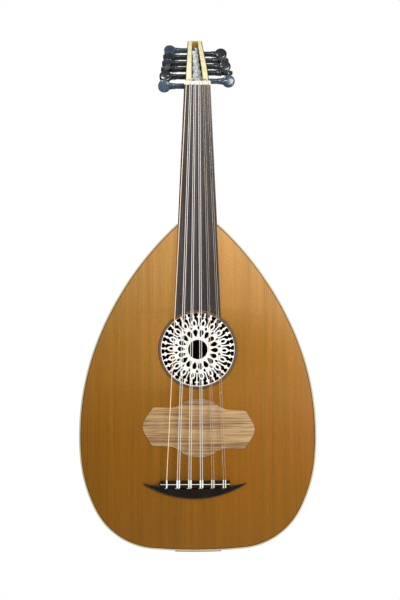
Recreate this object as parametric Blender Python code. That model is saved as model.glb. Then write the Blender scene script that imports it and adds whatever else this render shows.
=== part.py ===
"""Oud: a short-necked lute with a ribbed bowl, a bent-back pegbox and eleven strings in six courses.

Frame: the origin is on the centreline, in the plane of the soundboard's face, where the speaking
length of the strings ends at the nut. +Z runs up the neck, the soundboard faces -Y, and +X is the
treble side. All lengths are in metres and all angles in radians unless a name says degrees.
"""

from math import asin, atan2, cos, pi, radians, sin, sqrt

import bmesh
import bpy
from mathutils import Matrix, Vector

# ---- driving dimensions -------------------------------------------------------------------------

GAP = 0.0003                      # clearance between pieces that touch on the real instrument

STRING_LENGTH = 0.585             # nut to bridge
NECK_LENGTH = 0.204               # nut to the start of the body
NUT_HALF_WIDTH = 0.0195
NUT_THICKNESS = 0.006
NUT_TOP = -0.0020
JOINT_HALF_WIDTH = 0.0290         # body and neck where they meet
NECK_DEPTH_AT_NUT = 0.0240
NECK_TOP = 0.0028
STATION_STEP = radians(6.5)       # largest turn between two stations of the body outline

# Body outline from the tail centre outwards and up: radius and turn of each tangent arc. The
# fourth arc ends at the widest place, and the last one where the body is as wide as the neck.
OUTLINE_ARCS = ((0.710, radians(5.5)), (0.1057, radians(57.7)), (0.2098, radians(22.05)),
                (0.3868, radians(4.75)), (0.3868, radians(21.55)), (0.4603, None))

SOUNDBOARD_THICKNESS = 0.0018
BINDING_WIDTH = 0.0020
BOWL_AXIS_Y = SOUNDBOARD_THICKNESS + GAP
RIB_COUNT = 15
RIB_THICKNESS = 0.0030
RIB_TAIL_OPENING = 0.0080         # radius at the tail where the rib ends stop
RIB_ANGLE = pi / RIB_COUNT
TAIL_BLOCK_REACH = 0.062
TAIL_CLASP_REACH = 0.034
TAIL_CLASP_THICKNESS = 0.0016

ROSE_CENTRE_Z = -0.391
ROSE_RADIUS = 0.0546
ROSE_FRONT = 0.0006
ROSE_THICKNESS = 0.0020
RING_RADIUS = 0.0585
RING_FRONT = -0.0003
RING_SEGMENTS = 48
ROSE_HOLE_RADIUS = 0.0144
PETALS = 18
# Openings of the rose as (radius, distance to the side) corners.
PETAL_OPENING = ((0.0200, 0.0), (0.0255, 0.0030), (0.0292, 0.0), (0.0255, -0.0030))
EYE_OPENING = ((0.0360, 0.0), (0.0392, 0.0019), (0.0424, 0.0), (0.0392, -0.0019))
SLIT_OPENING = ((0.0338, 0.0), (0.0400, 0.0016), (0.0500, 0.0), (0.0400, -0.0016))

FINGERBOARD_FRONT = -0.0015
FINGERBOARD_HALF_WIDTH_AT_ROSE = 0.0340

PICKGUARD_CENTRE = (0.0010, -0.507)
PICKGUARD_TILT = radians(-2.2)
PICKGUARD_THICKNESS = 0.0006
# One quarter of its edge, from the pointed end to the shoulder, and then the arch over the middle.
PICKGUARD_EDGE = ((0.0828, 0.0), (0.0815, 0.0065), (0.0680, 0.0285), (0.0420, 0.0285),
                  (0.0330, 0.0312))
PICKGUARD_ARCH_RADIUS = 0.0530
PICKGUARD_ARCH_HALF = 0.0240
PICKGUARD_ARCH_TOP = 0.0430

BRIDGE_CENTRE_X = -0.0044
BRIDGE_HALF_WIDTH = 0.0770
BRIDGE_SAG = 0.0230               # from the horn tips to the bottom of the crescent
BRIDGE_TIP_DROP = 0.0040          # horn tips below the front of the tie block
BRIDGE_HORN_DIP = 0.0076          # hollow of the upper edge between the horns
BRIDGE_WING_HEIGHT = 0.0034
BRIDGE_FRONT_Z = -STRING_LENGTH + 0.001
TIE_BLOCK_HALF_WIDTH = 0.0515
TIE_BLOCK_LENGTH = 0.0096
TIE_BLOCK_HEIGHT = 0.0090
TIE_HOLE_RADIUS = 0.0010

STRING_Y_AT_BRIDGE = -0.0070
COURSES = 6
COURSE_SPACING_AT_NUT = 0.00635
COURSE_SPACING_AT_BRIDGE = 0.01705
COURSE_CENTRE_AT_NUT = -0.0005
COURSE_CENTRE_AT_BRIDGE = -0.0038
PAIR_SPACING_AT_NUT = 0.0023
PAIR_SPACING_AT_BRIDGE = 0.0031
ENTRY_PLACE = 0.0065              # along the pegbox, where the strings drop between the cheeks
ENTRY_SPACING = 0.0015            # between the strings there
COURSE_DIAMETERS = (0.00120, 0.00110, 0.00105, 0.00100, 0.00090, 0.00080)

PEGBOX_START_ANGLE = radians(50)  # lean of the pegbox away from the line of the neck
PEGBOX_ARCS = ((0.090, radians(15)), (0.100, radians(-6)))
PEGBOX_DEPTH = (0.0360, 0.0240)   # front to back of the cheeks, at the nut and at the tip
PEGBOX_WIDTH = (0.0350, 0.0226)
CHEEK_THICKNESS = (0.0088, 0.0066)
PEGBOX_BACK_THICKNESS = 0.0030
PEGBOX_TIP_LENGTH = 0.0060
PEGBOX_STATIONS = 13

PEGS = 11
FIRST_PEG = 0.0157                # along the pegbox from its joint with the neck
PEG_PITCH = 0.0162
PEG_RADIUS_AT_HEAD = 0.0041
PEG_RADIUS_AT_TIP = 0.0031
PEG_CLEARANCE = 0.0003
PEG_NECK_LENGTH = (0.0215, 0.0176)  # from the cheek to the collar, at the nut and at the tip
PEG_COLLAR_RADIUS = 0.0052
PEG_COLLAR_LENGTH = 0.0022
PEG_HEAD_RADIUS = 0.0096
PEG_HEAD_THICKNESS = 0.0076
# Resting turn of each peg's head about its shaft, from the nut to the tip.
PEG_TURNS = tuple(radians(turn) for turn in (85, 80, 65, 15, 25, 75, 40, 30, 50, 70, 60))

BRACE_HEIGHT = 0.0140
BRACE_THICKNESS = 0.0070
BRACE_ENDS = 0.0045
BRACES_Z = (-0.262, -0.322, -0.458, -0.515, -0.566, -0.622)

# ---- materials ----------------------------------------------------------------------------------

MATERIALS = {
    "cedar": ((0.380, 0.150, 0.020), 0.38, 0.0),
    "maple_binding": ((0.760, 0.640, 0.400), 0.40, 0.0),
    "dark_inlay": ((0.060, 0.035, 0.022), 0.45, 0.0),
    "bone": ((0.880, 0.850, 0.760), 0.35, 0.0),
    "zebrano": ((0.470, 0.270, 0.110), 0.42, 0.0),
    "rosewood": ((0.090, 0.060, 0.055), 0.42, 0.0),
    "ebony": ((0.012, 0.011, 0.012), 0.28, 0.0),
    "walnut_ribs": ((0.130, 0.052, 0.022), 0.32, 0.0),
    "mahogany": ((0.230, 0.085, 0.030), 0.34, 0.0),
    "spruce": ((0.600, 0.400, 0.190), 0.60, 0.0),
    "maple": ((0.700, 0.500, 0.240), 0.36, 0.0),
    "copper_wound": ((0.780, 0.450, 0.280), 0.35, 0.9),
    "silver_wound": ((0.780, 0.770, 0.760), 0.32, 0.9),
    "nylon": ((0.850, 0.800, 0.700), 0.25, 0.0),
}


def material(name):
    """The named finish as a Principled material, made on first use."""
    made = bpy.data.materials.get(name)
    if made is None:
        colour, roughness, metallic = MATERIALS[name]
        made = bpy.data.materials.new(name)
        made.use_nodes = True
        shader = made.node_tree.nodes["Principled BSDF"]
        shader.inputs["Base Color"].default_value = (*colour, 1.0)
        shader.inputs["Roughness"].default_value = roughness
        shader.inputs["Metallic"].default_value = metallic
        made.diffuse_color = (*colour, 1.0)
    return made


# ---- mesh helpers -------------------------------------------------------------------------------

def piece(name, bm, finish, location=(0, 0, 0)):
    """Turn a bmesh into a named object with outward faces."""
    bmesh.ops.remove_doubles(bm, verts=bm.verts[:], dist=1e-7)
    bmesh.ops.recalc_face_normals(bm, faces=bm.faces[:])
    mesh = bpy.data.meshes.new(name)
    bm.to_mesh(mesh)
    bm.free()
    mesh.materials.append(material(finish))
    mesh.shade_smooth()
    mesh.set_sharp_from_angle(angle=radians(32))
    made = bpy.data.objects.new(name, mesh)
    made.location = location
    bpy.context.scene.collection.objects.link(made)
    return made


def loft(rings):
    """A closed body through rings of equally many points, with a cap on each end."""
    bm = bmesh.new()
    rows = [[bm.verts.new(point) for point in ring] for ring in rings]
    count = len(rows[0])
    for low, high in zip(rows, rows[1:]):
        for i in range(count):
            j = (i + 1) % count
            bm.faces.new((low[i], low[j], high[j], high[i]))
    bm.faces.new(rows[0])
    bm.faces.new(rows[-1])
    return bm


def slab(outline, front, back):
    """A flat piece: an outline of (x, z) points between two depths in Y."""
    return loft([[(x, y, z) for x, z in outline] for y in (front, back)])


def combine(target, tool, operation):
    """Apply a Boolean to target and remove the tool."""
    cut = target.modifiers.new(operation.lower(), "BOOLEAN")
    cut.operation = operation
    cut.solver = "EXACT"
    cut.object = tool
    graph = bpy.context.evaluated_depsgraph_get()
    old = target.data
    target.data = bpy.data.meshes.new_from_object(target.evaluated_get(graph))
    target.data.name = old.name
    target.modifiers.clear()
    bpy.data.meshes.remove(old)
    old_tool = tool.data
    bpy.data.objects.remove(tool)
    bpy.data.meshes.remove(old_tool)
    target.data.materials.clear()
    return target


def finish_again(target, finish):
    """Give a piece its one material back after Booleans and soften its round faces."""
    target.data.materials.clear()
    target.data.materials.append(material(finish))
    target.data.shade_smooth()
    target.data.set_sharp_from_angle(angle=radians(32))
    return target


def add_loft(bm, rings):
    """Add one more closed body to a bmesh that is used as a cutter."""
    part = loft(rings)
    bmesh.ops.recalc_face_normals(part, faces=part.faces[:])
    mesh = bpy.data.meshes.new("cutter")
    part.to_mesh(mesh)
    part.free()
    bm.from_mesh(mesh)
    bpy.data.meshes.remove(mesh)


def circle(radius, count, phase=0.0):
    """Points of a regular polygon as (u, v)."""
    angles = [phase + 2 * pi * i / count for i in range(count)]
    return [(radius * cos(angle), radius * sin(angle)) for angle in angles]


def turned(profile, segments, centre=(0, 0, 0)):
    """Rings of a piece turned about X, from (x, radius) pairs."""
    cx, cy, cz = centre
    return [[(cx + x, cy + u, cz + v) for u, v in circle(radius, segments)] for x, radius in profile]


def tube(points, radius, sides=6):
    """Rings of a thin rod along a path."""
    points = [Vector(point) for point in points]
    rings = []
    for i, point in enumerate(points):
        before = points[max(i - 1, 0)]
        after = points[min(i + 1, len(points) - 1)]
        along = (after - before).normalized()
        across = (Vector((1, 0, 0)) - along * along.x).normalized()
        third = along.cross(across)
        rings.append([point + across * u + third * v for u, v in circle(radius, sides)])
    return rings


# ---- body outline -------------------------------------------------------------------------------

def outline(first_width=0.0):
    """Stations (half width, height above the tail, heading) of one side of the body, tail first."""
    width, height, heading = 0.0, 0.0, 0.0
    stations = []
    for radius, turn in OUTLINE_ARCS:
        if turn is None:
            turn = pi - asin(sin(heading) + (JOINT_HALF_WIDTH - width) / radius) - heading
        start = heading
        if not stations:
            start = asin(first_width / radius)
            stations.append((first_width, radius * (1 - cos(start)), start))
        steps = max(1 if stations[1:] else 2, round((heading + turn - start) / STATION_STEP))
        for step in range(1, steps + 1):
            angle = start + (heading + turn - start) * step / steps
            stations.append((width + radius * (sin(angle) - sin(heading)),
                             height + radius * (cos(heading) - cos(angle)), angle))
        width, height, heading = stations[-1]
    return stations


BODY_LENGTH = outline()[-1][1]
TAIL_Z = -NECK_LENGTH - BODY_LENGTH


def inset(stations, distance):
    """The outline moved inwards, as (half width, z) pairs that still end at the neck joint."""
    moved = [(width - distance * sin(heading), TAIL_Z + height + distance * cos(heading))
             for width, height, heading in stations[:-1]]
    width, height, heading = stations[-1]
    moved.append((width - distance / sin(heading), TAIL_Z + height))
    return moved


def half_width_at(z, distance):
    """Half width of the outline, moved inwards by distance, at a height on the centreline."""
    line = inset(outline(), distance)
    for (width_a, z_a), (width_b, z_b) in zip(line, line[1:]):
        if z_a <= z <= z_b:
            return width_a + (width_b - width_a) * (z - z_a) / (z_b - z_a)
    raise ValueError("height is outside the body")


# ---- body ---------------------------------------------------------------------------------------

def make_soundboard():
    line = inset(outline(), BINDING_WIDTH + GAP)
    line = [(max(width, 0.004), z) for width, z in line]
    line[-1] = (line[-1][0], line[-1][1] - GAP)
    rings = [[(-width, 0, z), (width, 0, z), (width, SOUNDBOARD_THICKNESS, z),
              (-width, SOUNDBOARD_THICKNESS, z)] for width, z in line]
    board = piece("soundboard", loft(rings), "cedar")
    hole = [(x, ROSE_CENTRE_Z + z) for x, z in circle(RING_RADIUS + GAP, RING_SEGMENTS)]
    cutter = piece("hole", slab(hole, -0.01, 0.01), "cedar")
    combine(board, cutter, "DIFFERENCE")
    finish_again(board, "cedar")


def make_soundhole_ring():
    bm = bmesh.new()
    rows = []
    for radius, y in ((ROSE_RADIUS + GAP, RING_FRONT), (RING_RADIUS, RING_FRONT),
                      (RING_RADIUS, SOUNDBOARD_THICKNESS), (ROSE_RADIUS + GAP, SOUNDBOARD_THICKNESS)):
        rows.append([bm.verts.new((x, y, ROSE_CENTRE_Z + z)) for x, z in circle(radius, RING_SEGMENTS)])
    for row, after in zip(rows, rows[1:] + rows[:1]):
        for i in range(RING_SEGMENTS):
            j = (i + 1) % RING_SEGMENTS
            bm.faces.new((row[i], row[j], after[j], after[i]))
    piece("soundhole_ring", bm, "dark_inlay")


def make_rose():
    """A pierced disc: a round middle hole, a ring of petals and two rings of small openings."""
    disc = [(x, ROSE_CENTRE_Z + z) for x, z in circle(ROSE_RADIUS, 54)]
    rose = piece("rose", slab(disc, ROSE_FRONT, ROSE_FRONT + ROSE_THICKNESS), "bone")
    step = 2 * pi / PETALS
    cutters = bmesh.new()
    shapes = [[(x, ROSE_CENTRE_Z + z) for x, z in circle(ROSE_HOLE_RADIUS, 18)]]
    for i in range(PETALS):
        for shape, phase in ((PETAL_OPENING, 0.0), (EYE_OPENING, 0.0), (SLIT_OPENING, 0.5)):
            angle = (i + phase) * step
            shapes.append([(radius * cos(angle) - side * sin(angle),
                            ROSE_CENTRE_Z + radius * sin(angle) + side * cos(angle))
                           for radius, side in shape])
    for shape in shapes:
        add_loft(cutters, [[(x, y, z) for x, z in shape] for y in (-0.005, 0.008)])
    combine(rose, piece("openings", cutters, "bone"), "DIFFERENCE")
    finish_again(rose, "bone")


def make_binding():
    """The pale strip round the soundboard's edge, open at the neck."""
    outer = inset(outline(), 0.0)
    inner = inset(outline(), BINDING_WIDTH)
    outer[-1] = (outer[-1][0], outer[-1][1] - GAP)
    inner[-1] = (inner[-1][0], inner[-1][1] - GAP)
    sections = []
    for (width_a, z_a), (width_b, z_b) in zip(outer, inner):
        sections.append([(width_a, 0, z_a), (width_b, 0, z_b),
                         (width_b, SOUNDBOARD_THICKNESS, z_b), (width_a, SOUNDBOARD_THICKNESS, z_a)])
    left = [[(-x, y, z) for x, y, z in section] for section in sections[:0:-1]]
    piece("binding", loft(left + sections), "maple_binding")


def make_ribs():
    """Fifteen bent staves that meet at the neck and at the tail."""
    stations = outline(RIB_TAIL_OPENING)
    outer = inset(stations, 0.0)
    inner = inset(stations, RIB_THICKNESS)
    for line in (outer, inner):
        line[-1] = (line[-1][0], line[-1][1] - GAP)

    def corner(radius, angle, shift):
        return (radius * cos(angle) - shift * sin(angle),
                BOWL_AXIS_Y + radius * sin(angle) + shift * cos(angle))

    for rib in range(RIB_COUNT):
        start = rib * RIB_ANGLE
        end = start + RIB_ANGLE
        start_shift = GAP / 2 if rib else 0.0
        end_shift = -GAP / 2 if rib < RIB_COUNT - 1 else 0.0
        rings = []
        for (radius_out, z_out), (radius_in, z_in) in zip(outer, inner):
            rings.append([(*corner(radius_out, start, start_shift), z_out),
                          (*corner(radius_out, end, end_shift), z_out),
                          (*corner(radius_in, end, end_shift), z_in),
                          (*corner(radius_in, start, start_shift), z_in)])
        finish = "walnut_ribs" if rib % 2 else "mahogany"
        piece(f"rib_{rib + 1:02d}", loft(rings), finish)


def half_disc(radius, z):
    """A half-round section of the bowl, flat against the soundboard."""
    return [(radius * cos(i * RIB_ANGLE), BOWL_AXIS_Y + radius * sin(i * RIB_ANGLE), z)
            for i in range(RIB_COUNT + 1)]


def tail_stations(reach):
    """Two stations on the first arc: at the rib ends and at a half width."""
    radius = OUTLINE_ARCS[0][0]
    headings = [asin(width / radius) for width in (RIB_TAIL_OPENING, reach)]
    return [(radius * sin(angle), radius * (1 - cos(angle)), angle) for angle in headings]


def shifted(stations, distance):
    """Stations moved inwards by a distance, as (half width, z) pairs."""
    return [(width - distance * sin(heading), TAIL_Z + height + distance * cos(heading))
            for width, height, heading in stations]


def make_neck_block():
    """The block inside the bowl that the neck is fixed to."""
    inside = RIB_THICKNESS + GAP / cos(RIB_ANGLE / 2) + GAP
    top = -NECK_LENGTH - GAP
    heights = [top - drop for drop in (0.0, 0.016, 0.032, 0.048)]
    piece("neck_block", loft([half_disc(half_width_at(z, inside), z) for z in heights]), "maple")


def make_tail_block():
    """The block inside the tail that the ribs are glued over."""
    line = shifted(tail_stations(TAIL_BLOCK_REACH), RIB_THICKNESS + 2 * GAP)
    rings = [half_disc(width, z) for width, z in line]
    rings.append(half_disc(line[-1][0] - 0.006, line[-1][1] + 0.010))
    piece("tail_block", loft(rings), "maple")


def make_tail_clasp():
    """A thin cap outside the bowl that covers the ends of the ribs."""
    stations = tail_stations(TAIL_CLASP_REACH)
    near = shifted(stations, -GAP)
    far = shifted(stations, -GAP - TAIL_CLASP_THICKNESS)
    rings = [half_disc(width, z) for width, z in near + far[::-1]]
    piece("tail_clasp", loft(rings), "maple")


def make_braces():
    """Bars across the underside of the soundboard, cut down at both ends."""
    for number, z in enumerate(BRACES_Z, start=1):
        top = BOWL_AXIS_Y
        narrow = min(half_width_at(z + side * BRACE_THICKNESS / 2, RIB_THICKNESS) for side in (-1, 1))
        half = sqrt(narrow ** 2 - BRACE_ENDS ** 2) * cos(RIB_ANGLE / 2) - 0.0015
        foot = 0.022
        shape = [(-half, top), (half, top), (half, top + BRACE_ENDS), (half - foot, top + BRACE_HEIGHT),
                 (foot - half, top + BRACE_HEIGHT), (-half, top + BRACE_ENDS)]
        rings = [[(x, y, z + side * BRACE_THICKNESS / 2) for x, y in shape] for side in (-1, 1)]
        piece(f"brace_{number}", loft(rings), "spruce")


# ---- neck ---------------------------------------------------------------------------------------

def make_neck():
    """A half-round neck whose upper end is cut to the lean of the pegbox."""
    rings = []
    reach = 0.030
    for z in (-NECK_LENGTH, reach):
        share = (z + NECK_LENGTH) / NECK_LENGTH
        half = JOINT_HALF_WIDTH + (NUT_HALF_WIDTH - JOINT_HALF_WIDTH) * share
        depth = JOINT_HALF_WIDTH + (NECK_DEPTH_AT_NUT - JOINT_HALF_WIDTH) * share
        ring = [(half * cos(i * RIB_ANGLE), BOWL_AXIS_Y + depth * sin(i * RIB_ANGLE), z)
                for i in range(RIB_COUNT + 1)]
        rings.append([(x, max(y, NECK_TOP), z) for x, y, z in ring])
    bm = loft(rings)
    along = Vector((0, sin(PEGBOX_START_ANGLE), cos(PEGBOX_START_ANGLE)))
    cut = bmesh.ops.bisect_plane(bm, geom=bm.verts[:] + bm.edges[:] + bm.faces[:], plane_no=along,
                                 plane_co=(0, NECK_TOP, NUT_THICKNESS), clear_outer=True)
    rim = [item for item in cut["geom_cut"] if isinstance(item, bmesh.types.BMEdge)]
    bmesh.ops.holes_fill(bm, edges=rim)
    piece("neck", bm, "walnut_ribs")


def make_fingerboard():
    """A tapered board on the neck that runs on over the soundboard up to the soundhole ring."""
    slope = (FINGERBOARD_HALF_WIDTH_AT_ROSE - NUT_HALF_WIDTH) / (-ROSE_CENTRE_Z - RING_RADIUS)

    def half(z):
        return NUT_HALF_WIDTH - slope * z

    radius = RING_RADIUS + 2 * GAP
    corner_angle = asin(FINGERBOARD_HALF_WIDTH_AT_ROSE / radius)
    arc_steps = 10
    arc = []
    for i in range(arc_steps + 1):
        angle = corner_angle * (2 * i / arc_steps - 1)
        arc.append((radius * sin(angle), ROSE_CENTRE_Z + radius * cos(angle)))
    shape = arc + [(half(-GAP), -GAP), (-half(-GAP), -GAP)]
    board = piece("fingerboard", slab(shape, FINGERBOARD_FRONT, -GAP), "rosewood")
    end = -NECK_LENGTH + GAP
    shape = [(-half(end), end), (half(end), end), (half(-GAP), -GAP), (-half(-GAP), -GAP)]
    neck_part = piece("neck_part", slab(shape, FINGERBOARD_FRONT, NECK_TOP - GAP), "rosewood")
    combine(board, neck_part, "UNION")
    finish_again(board, "rosewood")


def make_nut():
    top = NUT_TOP
    shape = [(top, 0.0), (top, NUT_THICKNESS - 0.0012), (top + 0.0008, NUT_THICKNESS),
             (NECK_TOP - GAP, NUT_THICKNESS), (NECK_TOP - GAP, 0.0)]
    rings = [[(side * NUT_HALF_WIDTH, y, z) for y, z in shape] for side in (-1, 1)]
    piece("nut", loft(rings), "bone")


# ---- pickguard and bridge -----------------------------------------------------------------------

def make_pickguard():
    """A cartouche: a low arch top and bottom, straight shoulders and pointed ends."""
    quarter = list(PICKGUARD_EDGE)
    for i in range(3, 0, -1):
        angle = asin(PICKGUARD_ARCH_HALF / PICKGUARD_ARCH_RADIUS) * i / 3
        quarter.append((PICKGUARD_ARCH_RADIUS * sin(angle),
                        PICKGUARD_ARCH_TOP - PICKGUARD_ARCH_RADIUS * (1 - cos(angle))))
    upper = quarter + [(0.0, PICKGUARD_ARCH_TOP)] + [(-x, z) for x, z in quarter[::-1]]
    lower = [(x, -z) for x, z in upper[-2:0:-1]]
    centre_x, centre_z = PICKGUARD_CENTRE
    turn = Matrix.Rotation(PICKGUARD_TILT, 2)
    shape = []
    for point in upper + lower:
        x, z = turn @ Vector(point)
        shape.append((centre_x + x, centre_z + z))
    piece("pickguard", slab(shape, -GAP - PICKGUARD_THICKNESS, -GAP), "zebrano")


def make_bridge():
    """A crescent glued to the soundboard with a raised block that the strings are tied to."""
    back = BRIDGE_FRONT_Z - TIE_BLOCK_LENGTH
    tips = BRIDGE_FRONT_Z - BRIDGE_TIP_DROP
    wing_radius = (BRIDGE_HALF_WIDTH ** 2 + BRIDGE_SAG ** 2) / (2 * BRIDGE_SAG)
    sweep = asin(BRIDGE_HALF_WIDTH / wing_radius)
    lower_steps = 16
    shape = []
    for i in range(lower_steps + 1):
        angle = sweep * (2 * i / lower_steps - 1)
        shape.append((BRIDGE_CENTRE_X + wing_radius * sin(angle),
                      tips - BRIDGE_SAG + wing_radius * (1 - cos(angle))))
    upper_steps = 8
    for i in range(1, upper_steps):
        across = BRIDGE_HALF_WIDTH * (1 - 2 * i / upper_steps)
        fall = BRIDGE_HORN_DIP * (1 - (across / BRIDGE_HALF_WIDTH) ** 2)
        shape.append((BRIDGE_CENTRE_X + across, tips - fall))
    bridge = piece("bridge", slab(shape, -BRIDGE_WING_HEIGHT, -GAP), "ebony")
    block = [(BRIDGE_CENTRE_X + side * TIE_BLOCK_HALF_WIDTH, z)
             for side, z in ((-1, BRIDGE_FRONT_Z), (1, BRIDGE_FRONT_Z), (1, back), (-1, back))]
    raised = piece("block", slab(block, -TIE_BLOCK_HEIGHT - GAP, -GAP), "ebony")
    combine(bridge, raised, "UNION")
    cutters = bmesh.new()
    for string in strings():
        rings = [[(string["bridge_x"] + u, STRING_Y_AT_BRIDGE + v, z)
                  for u, v in circle(TIE_HOLE_RADIUS, 8, pi / 8)]
                 for z in (BRIDGE_FRONT_Z + 0.01, back - 0.01)]
        add_loft(cutters, rings)
    combine(bridge, piece("tie_holes", cutters, "ebony"), "DIFFERENCE")
    finish_again(bridge, "ebony")


# ---- pegbox -------------------------------------------------------------------------------------

def along_box(s):
    """Centre line of the pegbox: (y, z, lean) at a distance s from the neck."""
    lean = PEGBOX_START_ANGLE
    half = PEGBOX_DEPTH[0] / 2
    y = NECK_TOP + GAP * sin(lean) + half * cos(lean)
    z = NUT_THICKNESS + GAP * cos(lean) - half * sin(lean)
    left = s
    for i, (length, turn) in enumerate(PEGBOX_ARCS):
        last = i == len(PEGBOX_ARCS) - 1
        step = left if last else min(left, length)
        radius = length / turn
        after = lean + step / radius
        y += radius * (cos(lean) - cos(after))
        z += radius * (sin(after) - sin(lean))
        lean = after
        left -= step
    return y, z, lean


BOX_LENGTH = sum(length for length, turn in PEGBOX_ARCS)


def taper(pair, s):
    """A size that changes evenly from the neck end of the pegbox to its tip."""
    return pair[0] + (pair[1] - pair[0]) * s / BOX_LENGTH


def box_point(s, offset):
    """(y, z) at a distance along the pegbox and in front (+) or behind (-) its centre line."""
    y, z, lean = along_box(s)
    return y - offset * cos(lean), z + offset * sin(lean)


def peg_place(number):
    """(s, y, z) of a peg's axis, counting from 0 at the nut."""
    s = FIRST_PEG + PEG_PITCH * number
    y, z, lean = along_box(s)
    return s, y, z


def peg_side(number):
    """-1 for a peg whose head is on the bass side, +1 for the treble side."""
    return -1 if number % 2 == 0 else 1


def peg_radius(number, x):
    """Radius of the tapered shaft at a place across the pegbox."""
    s = peg_place(number)[0]
    half = taper(PEGBOX_WIDTH, s) / 2
    share = (peg_side(number) * x + half) / (2 * half)
    return PEG_RADIUS_AT_TIP + (PEG_RADIUS_AT_HEAD - PEG_RADIUS_AT_TIP) * share


def make_cheeks():
    for side, name in ((-1, "pegbox_bass_cheek"), (1, "pegbox_treble_cheek")):
        rings = []
        for i in range(PEGBOX_STATIONS):
            s = BOX_LENGTH * i / (PEGBOX_STATIONS - 1)
            half_depth = taper(PEGBOX_DEPTH, s) / 2
            outer = side * taper(PEGBOX_WIDTH, s) / 2
            inner = outer - side * taper(CHEEK_THICKNESS, s)
            rings.append([(x, *box_point(s, offset)) for x, offset in
                          ((outer, half_depth), (outer, -half_depth), (inner, -half_depth),
                           (inner, half_depth))])
        cheek = piece(name, loft(rings), "walnut_ribs")
        cutters = bmesh.new()
        for number in range(PEGS):
            s, y, z = peg_place(number)
            middle = side * (taper(PEGBOX_WIDTH, s) - taper(CHEEK_THICKNESS, s)) / 2
            radius = (peg_radius(number, middle) + PEG_CLEARANCE) / cos(pi / 12)
            ends = ((middle - 0.009, radius), (middle + 0.009, radius))
            add_loft(cutters, turned(ends, 12, (0, y, z)))
        combine(cheek, piece("bores", cutters, "walnut_ribs"), "DIFFERENCE")
        finish_again(cheek, "walnut_ribs")


def make_pegbox_back():
    rings = []
    for i in range(PEGBOX_STATIONS):
        s = BOX_LENGTH * i / (PEGBOX_STATIONS - 1)
        near = -taper(PEGBOX_DEPTH, s) / 2 - GAP
        far = near - PEGBOX_BACK_THICKNESS
        half = taper(PEGBOX_WIDTH, s) / 2
        rings.append([(half, *box_point(s, near)), (half, *box_point(s, far)),
                      (-half, *box_point(s, far)), (-half, *box_point(s, near))])
    piece("pegbox_back", loft(rings), "walnut_ribs")


def make_pegbox_tip():
    rings = []
    for s in (BOX_LENGTH - PEGBOX_TIP_LENGTH, BOX_LENGTH):
        half = taper(PEGBOX_WIDTH, s) / 2 - taper(CHEEK_THICKNESS, s) - GAP
        depth = taper(PEGBOX_DEPTH, s) / 2
        rings.append([(half, *box_point(s, depth)), (half, *box_point(s, -depth)),
                      (-half, *box_point(s, -depth)), (-half, *box_point(s, depth))])
    piece("pegbox_tip", loft(rings), "maple")


def make_pegs():
    """Each peg is a tapered shaft with a flat round thumb piece; its origin is on its axis."""
    for number in range(PEGS):
        s, y, z = peg_place(number)
        side = peg_side(number)
        half = taper(PEGBOX_WIDTH, s) / 2
        collar = half + taper(PEG_NECK_LENGTH, s)
        centre = collar + PEG_COLLAR_LENGTH + PEG_HEAD_RADIUS - 0.0012
        profile = [(-half, PEG_RADIUS_AT_TIP), (half, PEG_RADIUS_AT_HEAD),
                   (collar, PEG_RADIUS_AT_HEAD), (collar, PEG_COLLAR_RADIUS),
                   (collar + PEG_COLLAR_LENGTH, PEG_COLLAR_RADIUS), (centre, PEG_RADIUS_AT_TIP)]
        profile = [(side * x, radius) for x, radius in profile]
        peg = piece(f"peg_{number + 1:02d}", loft(turned(profile, 12)), "ebony")
        rim = PEG_HEAD_THICKNESS * 0.28
        lens = [(-PEG_HEAD_THICKNESS / 2, PEG_HEAD_RADIUS * 0.55), (-rim, PEG_HEAD_RADIUS * 0.93),
                (0.0, PEG_HEAD_RADIUS), (rim, PEG_HEAD_RADIUS * 0.93),
                (PEG_HEAD_THICKNESS / 2, PEG_HEAD_RADIUS * 0.55)]
        rings = [[(side * centre + u, v, t) for u, v in circle(radius, 16)] for t, radius in lens]
        head = piece("head", loft(rings), "ebony")
        combine(peg, head, "UNION")
        finish_again(peg, "ebony")
        peg.location = (0, y, z)
        peg.rotation_euler = (PEG_TURNS[number], 0, 0)


# ---- strings ------------------------------------------------------------------------------------

def strings():
    """Names and places of the eleven strings, bass to treble; the lowest course is a single one."""
    found = []
    for course in range(COURSES):
        members = ("",) if course == 0 else ("a", "b")
        for member in members:
            pair = 0.0 if course == 0 else (-0.5 if member == "a" else 0.5)
            number = COURSES - course
            found.append({
                "name": f"string_{number}{member}",
                "rank": len(found),
                "radius": COURSE_DIAMETERS[course] / 2,
                "finish": "copper_wound" if course == 0 else "silver_wound" if course < 4 else "nylon",
                "nut_x": (COURSE_CENTRE_AT_NUT + (course - 2.5) * COURSE_SPACING_AT_NUT
                          + pair * PAIR_SPACING_AT_NUT),
                "bridge_x": (COURSE_CENTRE_AT_BRIDGE + (course - 2.5) * COURSE_SPACING_AT_BRIDGE
                             + pair * PAIR_SPACING_AT_BRIDGE),
            })
    # The outermost strings go to the pegs nearest the nut and the middle ones to the farthest.
    low, high = 0, len(found) - 1
    for number in range(PEGS):
        if peg_side(number) < 0:
            found[low]["peg"] = number
            low += 1
        else:
            found[high]["peg"] = number
            high -= 1
    return found


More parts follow.
